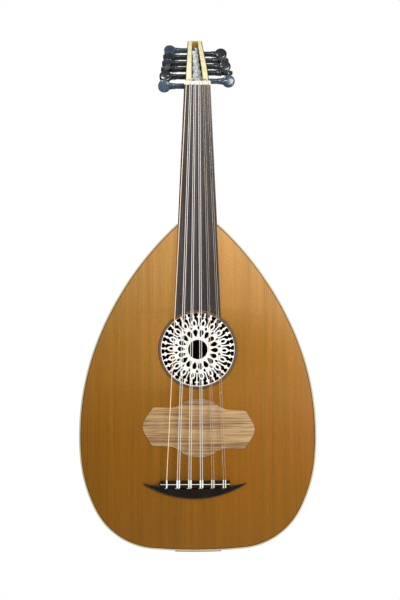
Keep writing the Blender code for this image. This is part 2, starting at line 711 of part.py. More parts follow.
def string_path(string):
    """Points from the tie block over the nut and the edge of the cheek to the peg."""
    radius = string["radius"]
    y_nut = NUT_TOP - GAP - radius
    over_edge = taper(PEGBOX_DEPTH, ENTRY_PLACE) / 2 + GAP + 0.0002 + radius
    edge_y, edge_z = box_point(ENTRY_PLACE, over_edge)
    entry_x = (string["rank"] - (PEGS - 1) / 2) * ENTRY_SPACING
    s, peg_y, peg_z = peg_place(string["peg"])
    peg_inner = taper(PEGBOX_WIDTH, s) / 2 - taper(CHEEK_THICKNESS, s)
    peg_x = peg_side(string["peg"]) * (peg_inner - 0.0017)
    if string["peg"] == PEGS - 1:
        peg_x = 0.0
    reach = peg_radius(string["peg"], peg_x) + GAP + radius
    gone_y, gone_z = peg_y - edge_y, peg_z - edge_z
    distance = sqrt(gone_y ** 2 + gone_z ** 2)
    lean = atan2(gone_y, gone_z) - asin(reach / distance)
    touch_y = peg_y - reach * cos(lean)
    touch_z = peg_z + reach * sin(lean)
    return [(string["bridge_x"], STRING_Y_AT_BRIDGE, BRIDGE_FRONT_Z - TIE_BLOCK_LENGTH - 0.002),
            (string["bridge_x"], STRING_Y_AT_BRIDGE, -STRING_LENGTH),
            (string["nut_x"], y_nut, 0.0),
            (string["nut_x"], y_nut, NUT_THICKNESS + 0.0008),
            (entry_x, edge_y, edge_z),
            (peg_x, touch_y, touch_z)]


def make_strings():
    for string in strings():
        piece(string["name"], loft(tube(string_path(string), string["radius"])), string["finish"])


# ---- build --------------------------------------------------------------------------------------

def main():
    for old in list(bpy.data.objects):
        bpy.data.objects.remove(old)
    make_soundboard()
    make_soundhole_ring()
    make_rose()
    make_binding()
    make_ribs()
    make_neck_block()
    make_tail_block()
    make_tail_clasp()
    make_braces()
    make_neck()
    make_fingerboard()
    make_nut()
    make_pickguard()
    make_bridge()
    make_cheeks()
    make_pegbox_back()
    make_pegbox_tip()
    make_pegs()
    make_strings()


main()
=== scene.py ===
"""The looks of the oud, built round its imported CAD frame. Metres, +Z up the neck, -Y to the front."""

from math import asin, atan2, cos, pi, radians, sin, sqrt, tau

import bmesh
import bpy
from mathutils import Matrix, Vector


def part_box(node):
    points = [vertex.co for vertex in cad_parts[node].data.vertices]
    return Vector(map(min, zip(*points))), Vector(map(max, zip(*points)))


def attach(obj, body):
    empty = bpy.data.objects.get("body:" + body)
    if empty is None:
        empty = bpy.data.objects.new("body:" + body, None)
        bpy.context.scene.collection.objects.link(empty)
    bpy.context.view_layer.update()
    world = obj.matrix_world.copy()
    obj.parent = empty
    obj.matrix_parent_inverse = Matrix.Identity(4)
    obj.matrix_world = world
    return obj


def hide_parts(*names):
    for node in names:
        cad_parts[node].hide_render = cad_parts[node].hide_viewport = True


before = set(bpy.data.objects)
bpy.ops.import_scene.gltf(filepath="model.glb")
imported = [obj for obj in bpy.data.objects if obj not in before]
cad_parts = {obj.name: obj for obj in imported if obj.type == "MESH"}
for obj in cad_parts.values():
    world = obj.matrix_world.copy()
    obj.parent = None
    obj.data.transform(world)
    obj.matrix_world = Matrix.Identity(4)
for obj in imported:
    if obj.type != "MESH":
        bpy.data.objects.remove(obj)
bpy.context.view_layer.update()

scene = bpy.context.scene

# ---- sizes that the frame doesn't state directly ----

MM = 0.001
FLOOR_DROP = 0.30
GAP = 0.0003
TOUCH = 0.00005
STRING_LENGTH = 0.585
NUT_THICKNESS = 0.006
NUT_TOP = -0.0020
NUT_HALF_WIDTH = 0.0195
NECK_TOP = 0.0028
NECK_DEPTH_AT_NUT = 0.0240
JOINT_HALF_WIDTH = 0.0290
NECK_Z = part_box("soundboard")[1][2] + GAP
TAIL_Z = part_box("binding")[0][2]
BOARD_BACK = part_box("soundboard")[1][1]
BOWL_AXIS_Y = BOARD_BACK + GAP

# Radius and turn of each tangent arc of the body outline, from the tail centre outwards and up.
OUTLINE_ARCS = ((0.710, radians(5.5)), (0.1057, radians(57.7)), (0.2098, radians(22.05)),
                (0.3868, radians(26.3)), (0.4603, None))
FINE_STEP = radians(1.6)
EDGE_BINDING = 0.0020
EDGE_LINE = 0.0010

RIBS = 15
RIB_ANGLE = pi / RIBS
RIB_THICKNESS = 0.0030
RIB_TAIL_OPENING = 0.0080
RIB_LINE = 0.0009
RIB_LINE_LIFT = 0.00012
CLASP_LIFT = 0.0018
HALF_SIDES = 40

ROSE_Z = sum(corner[2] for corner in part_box("rose")) / 2
ROSE_RADIUS = (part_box("rose")[1][0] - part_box("rose")[0][0]) / 2
RING_RADIUS = (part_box("soundhole_ring")[1][0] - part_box("soundhole_ring")[0][0]) / 2
PETALS = 18

PEGBOX_START_ANGLE = radians(50)
PEGBOX_ARCS = ((0.090, radians(15)), (0.100, radians(-6)))
PEGBOX_DEPTH = (0.0360, 0.0240)
PEGBOX_WIDTH = (0.0350, 0.0226)
CHEEK_THICKNESS = (0.0088, 0.0066)
PEGBOX_BACK_THICKNESS = 0.0030
PEGBOX_TIP_LENGTH = 0.0060
BOX_LENGTH = sum(length for length, turn in PEGBOX_ARCS)
OVERLAY = 0.0009
OVERLAY_LINE = 0.0012
OVERLAY_END = 0.0016
PEGS = 11
FIRST_PEG = 0.0157
PEG_PITCH = 0.0162
PEG_RADIUS_AT_HEAD = 0.0041
PEG_RADIUS_AT_TIP = 0.0031
BORE_CLEARANCE = 0.00012
PEG_NECK_LENGTH = (0.0215, 0.0176)
PEG_HEAD_RADIUS = 0.0096
PEG_HEAD_THICKNESS = 0.0076
# Pegs whose ebony is painted a lighter blue-grey, a painted reflection of light on their heads.
SHEEN_LIT_PEGS = (0, 1, 10)
PEG_TURNS = tuple(radians(turn) for turn in (85, 80, 65, 15, 25, 75, 40, 30, 50, 70, 60))

COURSE_SPACING_AT_NUT = 0.00635
COURSE_SPACING_AT_BRIDGE = 0.01705
COURSE_CENTRE_AT_NUT = -0.0005
COURSE_CENTRE_AT_BRIDGE = -0.0038
PAIR_SPACING_AT_NUT = 0.0023
PAIR_SPACING_AT_BRIDGE = 0.0031
ENTRY_PLACE = 0.0065
ENTRY_SPACING = 0.0015
COURSE_DIAMETERS = (0.00120, 0.00110, 0.00105, 0.00100, 0.00090, 0.00080)
STRING_Y_AT_BRIDGE = -0.0070
WINDING_TURNS = 7
WINDING_RADIUS = 0.0006
STEPS_PER_TURN = 20

BRIDGE_CENTRE_X = -0.0044
BRIDGE_FRONT = -STRING_LENGTH + 0.001
TIE_BLOCK_HALF_WIDTH = 0.0515
TIE_BLOCK_LENGTH = 0.0096
TIE_BLOCK_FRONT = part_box("bridge")[0][1] + 0.0012
TIE_RADIUS = 0.00050
BRIDGE_BODY_FRONT = -0.0034
BRIDGE_HOLE_RADIUS = 0.0008


# ---- materials ----

def srgb(red, green, blue):
    """An 8-bit screen colour as the linear colour that shaders use."""
    def linear(value):
        value /= 255
        return value / 12.92 if value <= 0.04045 else ((value + 0.055) / 1.055) ** 2.4
    return (linear(red), linear(green), linear(blue), 1.0)


class Finish:
    """A material and short calls that add and wire its nodes."""

    def __init__(self, name, roughness=0.4, coat=0.0, metallic=0.0, specular=0.5):
        self.material = bpy.data.materials.new(name)
        self.material.use_nodes = True
        self.nodes = self.material.node_tree.nodes
        self.links = self.material.node_tree.links
        self.shader = self.nodes["Principled BSDF"]
        for key, value in (("Roughness", roughness), ("Metallic", metallic), ("Coat Weight", coat),
                           ("Coat Roughness", 0.12), ("Specular IOR Level", specular)):
            self.shader.inputs[key].default_value = value

    def node(self, kind, inputs=(), **settings):
        made = self.nodes.new(kind)
        for key, value in settings.items():
            setattr(made, key, value)
        for key, value in dict(inputs).items():
            if isinstance(value, bpy.types.NodeSocket):
                self.links.new(value, made.inputs[key])
            else:
                made.inputs[key].default_value = value
        return made

    def place(self, stretch, source="grain", shift=(0, 0, 0)):
        """Coordinates in metres, scaled per axis; the grain attribute's Z runs along the fibre."""
        if source == "grain":
            vector = self.node("ShaderNodeAttribute", attribute_name="grain").outputs["Vector"]
        else:
            vector = self.node("ShaderNodeTexCoord").outputs["Object"]
        return self.node("ShaderNodeMapping", {"Vector": vector, "Scale": stretch,
                                               "Location": shift}).outputs["Vector"]

    def noise(self, stretch, detail, source="grain", shift=(0, 0, 0), roughness=0.55, distortion=0.0):
        return self.node("ShaderNodeTexNoise", {"Vector": self.place(stretch, source, shift),
                                                "Scale": 1.0, "Detail": detail, "Roughness": roughness,
                                                "Distortion": distortion}).outputs["Fac"]

    def bands(self, stretch, scale, distortion, detail, detail_scale=1.0, source="grain", direction="X"):
        return self.node("ShaderNodeTexWave", {"Vector": self.place(stretch, source), "Scale": scale,
                                               "Distortion": distortion, "Detail": detail,
                                               "Detail Scale": detail_scale},
                         wave_type="BANDS", bands_direction=direction).outputs["Fac"]

    def ramp(self, factor, *stops):
        """Screen colours at places along a factor, given as (place, (red, green, blue))."""
        made = self.node("ShaderNodeValToRGB", {"Fac": factor})
        elements = made.color_ramp.elements
        while len(elements) < len(stops):
            elements.new(0.5)
        for element, (place, colour) in zip(elements, stops):
            element.position = place
            element.color = srgb(*colour)
        return made.outputs["Color"]

    def levels(self, factor, low, high, bottom=0.0, top=1.0, **settings):
        return self.node("ShaderNodeMapRange", {"Value": factor, "From Min": low, "From Max": high,
                                                "To Min": bottom, "To Max": top},
                         **settings).outputs["Result"]

    def mix(self, factor, first, second, blend="MIX"):
        return self.node("ShaderNodeMix", {0: factor, 6: first, 7: second}, data_type="RGBA",
                         blend_type=blend).outputs[2]

    def shade(self, colour, factor):
        """The colour times a grey factor."""
        grey = self.node("ShaderNodeCombineColor", {"Red": factor, "Green": factor, "Blue": factor})
        return self.mix(1.0, colour, grey.outputs["Color"], "MULTIPLY")

    def math(self, operation, first, second=0.0, third=0.0):
        return self.node("ShaderNodeMath", {0: first, 1: second, 2: third},
                         operation=operation).outputs[0]

    def weigh(self, first, share, second, other_share):
        """The weighted sum of two factors."""
        return self.math("ADD", self.math("MULTIPLY", first, share),
                         self.math("MULTIPLY", second, other_share))

    def paint(self, colour=None, roughness=None, bump=None, strength=0.3, distance=0.0002):
        if colour is not None:
            self.links.new(colour, self.shader.inputs["Base Color"])
        if roughness is not None:
            self.links.new(roughness, self.shader.inputs["Roughness"])
        if bump is not None:
            made = self.node("ShaderNodeBump", {"Height": bump, "Strength": strength, "Distance": distance})
            self.links.new(made.outputs["Normal"], self.shader.inputs["Normal"])
        return self.material


def plain_wood(name, dark, middle, light, pore=0.35, ring=260.0, roughness=0.42, coat=0.1,
               source="grain", specular=0.4):
    """Straight-grained wood: fine fibres, soft growth bands, short pores and slow colour drift."""
    make = Finish(name, roughness, coat, specular=specular)
    fibre = make.noise((1600, 1600, 26), 5, source)
    broad = make.noise((90, 90, 5), 3, source, distortion=0.6)
    growth = make.bands((1, 1, 0.04), ring, 3.0, 2.5, 30, source)
    drift = make.noise((14, 14, 7), 2, source)
    tone = make.math("MULTIPLY_ADD", growth, 0.35, make.math("MULTIPLY", broad, 0.75))
    colour = make.ramp(tone, (0.25, dark), (0.52, middle), (0.78, light))
    colour = make.shade(colour, make.levels(fibre, 0.30, 0.62, 1.0 - pore, 1.0))
    colour = make.shade(colour, make.levels(drift, 0.35, 0.65, 0.88, 1.08))
    rough = make.levels(fibre, 0.3, 0.7, roughness + 0.08, roughness - 0.05)
    return make.paint(colour, rough, fibre, 0.16, 0.00015)


def cedar_top():
    """The soundboard: fine even grain lines, silky cross rays, and painted light that makes it darker at
    the tail and paler towards the neck, like a sheen on the upper board.
    """
    make = Finish("cedar_top", 0.44, 0.0, specular=0.14)
    fine = make.noise((1500, 1500, 9), 4)
    lines = make.bands((1, 1, 0.010), 108, 2.2, 2, 26)
    wide = make.noise((120, 120, 2.2), 4, roughness=0.6)
    rays = make.noise((190, 190, 620), 3)
    height = make.node("ShaderNodeSeparateXYZ", {"Vector": make.place((1, 1, 1))}).outputs["Z"]
    # Painted light: the ramps below run from darker at the tail to paler at the neck, a painted sheen on
    # the upper board.
    along = make.levels(height, TAIL_Z, NECK_Z)
    base_with_painted_sheen = make.ramp(along, (0.0, (120, 79, 15)), (0.35, (126, 82, 13)),
                     (0.62, (141, 98, 32)), (1.0, (174, 132, 73)))
    ruddy_with_painted_sheen = make.ramp(along, (0.0, (138, 76, 22)), (0.5, (150, 84, 24)), (1.0, (186, 124, 66)))
    tint = make.noise((170, 170, 3), 3, shift=(3, 1, 2))
    base_with_painted_sheen = make.mix(make.levels(tint, 0.40, 0.70, 0.0, 0.42), base_with_painted_sheen, ruddy_with_painted_sheen)
    dark_line = make.levels(lines, 0.05, 0.9, 0.90, 1.04)
    streak = make.levels(wide, 0.32, 0.68, 0.90, 1.11)
    grain = make.levels(fine, 0.3, 0.7, 0.88, 1.10)
    ray = make.levels(rays, 0.40, 0.62, 0.94, 1.06)
    total = make.math("MULTIPLY", make.math("MULTIPLY", dark_line, streak),
                      make.math("MULTIPLY", grain, ray))
    rough = make.levels(fine, 0.3, 0.7, 0.46, 0.36)
    return make.paint(make.shade(base_with_painted_sheen, total), rough, fine, 0.10, 0.0001)


def striped_wood():
    """The pickguard: pale wood with dark wavy streaks along its length."""
    make = Finish("striped_wood", 0.40, 0.15)
    lines = make.bands((1, 1, 0.05), 62, 7.0, 4, 7)
    patches = make.noise((120, 120, 4), 5, roughness=0.62, distortion=0.8)
    fibre = make.noise((1500, 1500, 30), 4)
    tone = make.weigh(lines, 0.16, patches, 0.96)
    colour = make.ramp(tone, (0.36, (108, 76, 46)), (0.50, (142, 110, 72)),
                       (0.60, (166, 133, 89)), (0.74, (182, 150, 104)))
    grain = make.levels(fibre, 0.3, 0.7, 0.86, 1.08)
    return make.paint(make.shade(colour, grain), None, fibre, 0.12)


def rope_inlay():
    """The soundhole's edging: slanting slips of dark and brown wood, laid like a rope."""
    make = Finish("rope_inlay", 0.42, 0.0, specular=0.3)
    slips = make.bands((1, 1, 1), 300, 0.3, 1, direction="Z")
    fibre = make.noise((900, 900, 900), 4)
    tone = make.weigh(slips, 0.6, fibre, 0.4)
    colour = make.ramp(tone, (0.28, (44, 30, 20)), (0.50, (82, 58, 38)), (0.74, (128, 98, 66)))
    return make.paint(colour, None, fibre, 0.1)


def bone(name, tint=(240, 238, 230), roughness=0.34):
    """Bone or ivory-coloured plastic, with faint cloudy streaks and polished edges."""
    make = Finish(name, roughness, 0.15)
    cloud = make.noise((160, 160, 40), 4, "object")
    speck = make.noise((1400, 1400, 500), 2, "object")
    warm = [channel * scale for channel, scale in zip(tint, (0.95, 0.925, 0.87))]
    colour = make.ramp(cloud, (0.32, warm), (0.60, tint))
    return make.paint(colour, make.levels(speck, 0.3, 0.7, roughness + 0.08, roughness - 0.06), speck, 0.06)


def ebony(name, low=(4, 3, 3), high=(18, 15, 14), roughness=0.26, coat=0.0):
    """Near-black wood, lightly polished, with fine open pores."""
    make = Finish(name, roughness, coat, specular=0.26)
    fibre = make.noise((900, 900, 60), 5, "object")
    patch = make.noise((60, 60, 22), 3, "object")
    colour = make.ramp(make.weigh(fibre, 0.5, patch, 0.5), (0.38, low), (0.66, high))
    return make.paint(colour, make.levels(fibre, 0.3, 0.7, roughness + 0.1, roughness - 0.06), fibre, 0.03)


def wound_string(name, tint, groove_shade):
    """A core wrapped with fine metal wire: the wire's own colour on the ridges and painted shade in the
    grooves round the string.
    """
    make = Finish(name, 0.36, 0.0, 0.15)
    turns = make.bands((1, 1, 1), 420, 0.0, 0.0, direction="Z")
    # The second colour is painted shade in the grooves between the wire's turns.
    colour = make.ramp(turns, (0.10, groove_shade), (0.55, tint))
    return make.paint(colour, None, turns, 0.5, 0.0001)


def nylon(name, tint=(224, 208, 184)):
    """Clear polished nylon gut: pale, slightly see-through."""
    make = Finish(name, 0.22, 0.3)
    cloud = make.noise((200, 200, 20), 2, "object")
    make.shader.inputs["Transmission Weight"].default_value = 0.65
    make.shader.inputs["IOR"].default_value = 1.53
    low = [channel * 0.9 for channel in tint]
    return make.paint(make.ramp(cloud, (0.3, low), (0.7, tint)))


CEDAR = cedar_top()
STRIPED = striped_wood()
WALNUT = plain_wood("walnut", (74, 46, 30), (104, 66, 42), (134, 90, 58), 0.42, 150, 0.34, 0.35)
MAHOGANY = plain_wood("mahogany", (98, 52, 30), (128, 72, 42), (156, 94, 56), 0.40, 150, 0.34, 0.35)
NECK_WOOD = plain_wood("neck_walnut", (66, 42, 28), (94, 60, 38), (122, 82, 52), 0.42, 170, 0.36, 0.25)
GOLD_MAPLE = plain_wood("golden_maple", (168, 118, 48), (196, 146, 68), (212, 168, 90),
                        0.16, 300, 0.36, 0.2)
CREAM = plain_wood("cream_edging", (164, 146, 112), (182, 165, 132), (196, 180, 148), 0.08, 300, 0.40, 0.15)
SPRUCE = plain_wood("spruce", (188, 152, 104), (212, 180, 134), (226, 200, 158), 0.14,
                    260, 0.6, 0.0, "object")
BLOCK_WOOD = plain_wood("block_maple", (176, 140, 92), (200, 166, 116), (214, 184, 136),
                        0.14, 300, 0.6, 0.0, "object")
ROSEWOOD = plain_wood("rosewood", (40, 36, 38), (62, 56, 57), (88, 79, 78), 0.45, 120,
                      0.36, 0.0, specular=0.3)
DARK_LINE = plain_wood("dark_line", (30, 20, 14), (46, 30, 20), (60, 40, 26), 0.2, 200,
                       0.45, 0.0, specular=0.3)
RING_WOOD = rope_inlay()
PALE_YELLOW = plain_wood("pale_yellow", (226, 216, 160), (238, 230, 178), (246, 240, 196),
                         0.06, 300, 0.40, 0.15)
SILK = bone("silk_winding", (242, 250, 250), 0.5)
BONE = bone("bone")
ROSE_WHITE = bone("rose_white", (250, 250, 247), 0.36)
EBONY = ebony("ebony", (8, 5, 3), (26, 19, 13), 0.22, 0.0)
# Peg ebony tinted blue: a painted reflection of cool light on the black wood.
BLUE_SHEEN_PEG_EBONY = ebony("blue_sheen_peg_ebony", (10, 12, 16), (30, 36, 42), 0.22, 0.6)
# A lighter blue-grey copy of the peg ebony: painted reflection for a few pegs.
PAINTED_SHEEN_EBONY = ebony("painted_sheen_ebony", (34, 46, 60), (66, 86, 106), 0.24, 0.6)
COPPER = wound_string("copper_wound", (252, 226, 190), (210, 174, 136))
SILVER = wound_string("silver_wound", (226, 222, 214), (168, 162, 153))
NYLON = nylon("nylon")


# ---- mesh helpers ----

def add_object(name, data):
    made = bpy.data.objects.new(name, data)
    scene.collection.objects.link(made)
    return made


def finish_piece(name, mesh, finish, slot, body="root", replaces=(), grain="XYZ", sharp=34):
    """Make an object of a mesh, give it its finish and its grain, and let it ride on a body."""
    made = add_object(name, mesh)
    mesh.materials.clear()
    mesh.materials.append(finish)
    mesh.shade_smooth()
    mesh.set_sharp_from_angle(angle=radians(sharp))
    if "grain" not in mesh.attributes:
        layer = mesh.attributes.new("grain", "FLOAT_VECTOR", "POINT")
        order = ["XYZ".index(letter) for letter in grain]
        for vertex, item in zip(mesh.vertices, layer.data):
            item.vector = [vertex.co[index] for index in order]
    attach(made, body)
    if replaces:
        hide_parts(*replaces)


def mesh_from(bm, name):
    bmesh.ops.recalc_face_normals(bm, faces=bm.faces[:])
    mesh = bpy.data.meshes.new(name)
    bm.to_mesh(mesh)
    bm.free()
    return mesh


def loft_mesh(name, rings, grain=None):
    """A skin over rings of equally many points; grain is the fibre coordinate of each point."""
    bm = bmesh.new()
    layer = bm.verts.layers.float_vector.new("grain") if grain else None
    rows = []
    for ring_index, ring in enumerate(rings):
        row = []
        for point_index, point in enumerate(ring):
            vertex = bm.verts.new(point)
            if layer:
                vertex[layer] = grain[ring_index][point_index]
            row.append(vertex)
        rows.append(row)
    count = len(rows[0])
    for low, high in zip(rows, rows[1:]):
        for i in range(count):
            j = (i + 1) % count
            bm.faces.new((low[i], low[j], high[j], high[i]))
    bm.faces.new(rows[0])
    bm.faces.new(rows[-1])
    return mesh_from(bm, name)


def plate_mesh(name, loops, front, back, edge=0.0002, segments=2):
    """A flat piece with rounded edges from closed (x, z) loops: the outline first, then its holes."""
    curve = bpy.data.curves.new(name, "CURVE")
    curve.dimensions = "2D"
    curve.fill_mode = "BOTH"
    curve.extrude = (back - front) / 2 - edge
    curve.bevel_depth = edge
    curve.bevel_resolution = segments
    curve.offset = -edge
    for number, loop in enumerate(loops):
        area = sum(a[0] * b[1] - b[0] * a[1] for a, b in zip(loop, loop[1:] + loop[:1]))
        if (area > 0) == (number > 0):
            loop = loop[::-1]
        spline = curve.splines.new("POLY")
        spline.points.add(len(loop) - 1)
        for point, (x, z) in zip(spline.points, loop):
            point.co = (x, z, 0, 1)
        spline.use_cyclic_u = True
    holder = add_object(name + "_curve", curve)
    graph = bpy.context.evaluated_depsgraph_get()
    mesh = bpy.data.meshes.new_from_object(holder.evaluated_get(graph))
    bpy.data.objects.remove(holder)
    bpy.data.curves.remove(curve)
    mesh.name = name
    middle = (front + back) / 2
    bm = bmesh.new()
    bm.from_mesh(mesh)
    for vertex in bm.verts:
        x, z, depth = vertex.co
        vertex.co = (x, middle - depth, z)
    bmesh.ops.remove_doubles(bm, verts=bm.verts[:], dist=2e-6)
    bmesh.ops.recalc_face_normals(bm, faces=bm.faces[:])
    bm.to_mesh(mesh)
    bm.free()
    return mesh


def circle(radius, count):
    return [(radius * cos(tau * i / count), radius * sin(tau * i / count)) for i in range(count)]


def rectangle(left, right, low, high):
    return [(left, high), (right, high), (right, low), (left, low)]


def spline_span(p0, p1, p2, p3, steps):
    """Catmull-Rom points from p1 up to, but not including, p2."""
    return [0.5 * (2 * p1 + (p2 - p0) * t + (2 * p0 - 5 * p1 + 4 * p2 - p3) * t * t
                   + (3 * p1 - p0 - 3 * p2 + p3) * t ** 3) for t in (k / steps for k in range(steps))]


def smooth_loop(points, steps):
    """A smooth closed loop through points."""
    out = []
    for i in range(len(points)):
        four = (Vector(points[(i + k) % len(points)]) for k in (-1, 0, 1, 2))
        out += [tuple(point) for point in spline_span(*four, steps)]
    return out


def smooth_path(points, steps):
    """A smooth open path through points."""
    points = [Vector(point) for point in points]
    padded = points[:1] + points + points[-1:]
    out = []
    for i in range(len(points) - 1):
        out += spline_span(*padded[i:i + 4], steps)
    return out + points[-1:]


def lengths_along(points):
    """The length of a path up to each of its points."""
    lengths = [0.0]
    for point, following in zip(points, points[1:]):
        lengths.append(lengths[-1] + (Vector(following) - Vector(point)).length)
    return lengths


def tube_mesh(name, points, radius, sides=12):
    """A tube along a path; its grain coordinate is the turn round it and the length along it."""
    points = [Vector(point) for point in points]
    rings, grain = [], []
    across = Vector((1, 0, 0))
    for i, (point, length) in enumerate(zip(points, lengths_along(points))):
        along = (points[min(i + 1, len(points) - 1)] - points[max(i - 1, 0)]).normalized()
        across = (across - along * across.dot(along)).normalized()
        third = along.cross(across)
        rings.append([point + across * u + third * v for u, v in circle(radius, sides)])
        grain.append([(u, v, length) for u, v in circle(radius, sides)])
    return loft_mesh(name, rings, grain)


def finish_tube(name, path, radius, finish, slot, sides=12, **more):
    finish_piece(name, tube_mesh(name, path, radius, sides), finish, slot, sharp=60, **more)


def boolean(target, mesh, operation):
    """Join a mesh to an object, or cut it out of the object."""
    tool = add_object("tool", mesh)
    cut = target.modifiers.new(operation.lower(), "BOOLEAN")
    cut.operation = operation
    cut.object = tool
    graph = bpy.context.evaluated_depsgraph_get()
    mesh = bpy.data.meshes.new_from_object(target.evaluated_get(graph))
    target.modifiers.clear()
    target.data = mesh
    bpy.data.objects.remove(tool)


def mesh_of(made):
    """The mesh of an object, which is removed."""
    mesh = made.data
    bpy.data.objects.remove(made)
    return mesh


# ---- body ----

def outline(first_width=0.0):
    """Stations (half width, height above the tail, heading) of one side of the body, tail first."""
    width, height, heading = 0.0, 0.0, 0.0
    stations = []
    for radius, turn in OUTLINE_ARCS:
        if turn is None:
            turn = pi - asin(sin(heading) + (JOINT_HALF_WIDTH - width) / radius) - heading
        start = heading
        if not stations:
            start = asin(first_width / radius)
            stations.append((first_width, radius * (1 - cos(start)), start))
        steps = max(2, round((heading + turn - start) / FINE_STEP))
        for i in range(1, steps + 1):
            angle = start + (heading + turn - start) * i / steps
            stations.append((width + radius * (sin(angle) - sin(heading)),
                             height + radius * (cos(heading) - cos(angle)), angle))
        width, height, heading = stations[-1]
    return stations


def inset(stations, distance):
    """The outline moved inwards, as (half width, z) pairs that still end at the neck joint."""
    moved = [(width - distance * sin(heading), TAIL_Z + height + distance * cos(heading))
             for width, height, heading in stations[:-1]]
    width, height, heading = stations[-1]
    moved.append((width - distance / sin(heading), TAIL_Z + height - GAP))
    return moved


def whole_outline(distance):
    side = inset(outline(), distance)
    return side + [(-x, z) for x, z in side[:0:-1]]


def round_rose(radius):
    """A circle about the middle of the rose, as (x, z) pairs."""
    return [(x, ROSE_Z + z) for x, z in circle(radius, 128)]


def make_soundboard():
    loops = [whole_outline(EDGE_BINDING + EDGE_LINE), round_rose(RING_RADIUS + GAP)]
    mesh = plate_mesh("top", loops, 0.0, BOARD_BACK, 0.0001, 1)
    finish_piece("top", mesh, CEDAR, "cedar", replaces=("soundboard",))


def edge_strip(name, outer, inner, front, finish, slot, replaces=()):
    """A strip that follows the body outline between two insets, open at the neck."""
    far = inset(outline(), outer)
    near = inset(outline(), inner)
    rings = []
    for (wide, z_wide), (narrow, z_narrow) in zip(far, near):
        rings.append([(wide, front, z_wide), (narrow, front, z_narrow),
                      (narrow, BOARD_BACK, z_narrow), (wide, BOARD_BACK, z_wide)])
    rings = [[(-x, y, z) for x, y, z in ring] for ring in rings[:0:-1]] + rings
    grain = [[(0.002 * (k in (1, 2)), point[1], length) for k, point in enumerate(ring)]
             for ring, length in zip(rings, lengths_along([ring[0] for ring in rings]))]
    finish_piece(name, loft_mesh(name, rings, grain), finish, slot, replaces=replaces)


def make_edges():
    edge_strip("edge_binding", 0.0, EDGE_BINDING, 0.0, CREAM, "maple_binding", ("binding",))
    edge_strip("edge_purfling", EDGE_BINDING, EDGE_BINDING + EDGE_LINE, TOUCH, DARK_LINE, "dark_inlay")


def bowl_strip(name, stations, start, end, lift, thickness):
    """A stave between two edges, each an (angle, sideways shift); its grain runs tail to neck."""
    outer = inset(stations, -lift)
    inner = inset(stations, thickness)
    rings, grain = [], []
    for (far, z_far), (near, z_near), length in zip(outer, inner, lengths_along(outer)):
        ring, fibre = [], []
        for radius, z, order in ((far, z_far, 1), (near, z_near, -1)):
            shares = (0.0, 1.0)[::order]
            flat = [Vector((radius * cos(turn) - shift * sin(turn), radius * sin(turn) + shift * cos(turn)))
                    for turn, shift in (start, end)]
            for share in shares:
                point = flat[0].lerp(flat[1], share)
                ring.append((point.x, BOWL_AXIS_Y + point.y, z))
                fibre.append(((share - 0.5) * radius * (end[0] - start[0]) + 0.3 * start[0],
                              0.001 * order, length))
        rings.append(ring)
        grain.append(fibre)
    return loft_mesh(name, rings, grain)


def make_bowl():
    stations = outline(RIB_TAIL_OPENING)
    half = RIB_LINE / 2
    for rib in range(RIBS):
        start = (rib * RIB_ANGLE, half if rib else 0.0)
        end = ((rib + 1) * RIB_ANGLE, -half if rib < RIBS - 1 else 0.0)
        mesh = bowl_strip(f"stave_{rib + 1:02d}", stations, start, end, 0.0, RIB_THICKNESS)
        finish, slot = (WALNUT, "rib_dark") if rib % 2 else (MAHOGANY, "rib_red")
        finish_piece(mesh.name, mesh, finish, slot, replaces=(f"rib_{rib + 1:02d}",))
    for line in range(1, RIBS):
        angle = line * RIB_ANGLE
        mesh = bowl_strip(f"rib_purfling_{line:02d}", stations, (angle, -half), (angle, half),
                          RIB_LINE_LIFT, RIB_THICKNESS * 0.8)
        finish_piece(mesh.name, mesh, CREAM, "maple_binding")


def half_round(half, depth, z):
    """Half an ellipse behind the bowl's axis, from +X round the back to -X."""
    turns = [pi * k / HALF_SIDES for k in range(HALF_SIDES + 1)]
    return [(half * cos(turn), BOWL_AXIS_Y + depth * sin(turn), z) for turn in turns]


def make_tail_clasp():
    radius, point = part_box("tail_clasp")[1][0], 0.0005
    stations = []
    for i in range(9):
        width = point + (radius - point) * i / 8
        angle = asin(width / OUTLINE_ARCS[0][0])
        stations.append((width, OUTLINE_ARCS[0][0] * (1 - cos(angle)), angle))
    under, over = ([(w + lift * sin(a), TAIL_Z + h - lift * cos(a)) for w, h, a in stations]
                   for lift in (GAP * 0.5, CLASP_LIFT))
    mesh = loft_mesh("clasp", [half_round(w, w, z) for w, z in under + over[::-1]])
    finish_piece("clasp", mesh, CREAM, "maple", replaces=("tail_clasp",), grain="YZX")


# ---- rose ----

def make_ring():
    low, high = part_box("soundhole_ring")
    loops = [round_rose(RING_RADIUS), round_rose(ROSE_RADIUS + GAP)]
    mesh = plate_mesh("ring", loops, low[1], high[1], 0.0001, 1)
    layer = mesh.attributes.new("grain", "FLOAT_VECTOR", "CORNER")
    for face in mesh.polygons:
        middle = atan2(face.center.x, face.center.z - ROSE_Z)
        for corner in face.loop_indices:
            x, y, z = mesh.vertices[mesh.loops[corner].vertex_index].co
            across = sqrt(x ** 2 + (z - ROSE_Z) ** 2)
            angle = atan2(x, z - ROSE_Z)
            angle += tau * round((middle - angle) / tau)
            layer.data[corner].vector = (across, y, angle * RING_RADIUS + across)
    finish_piece("ring", mesh, RING_WOOD, "dark_inlay", replaces=("soundhole_ring",))


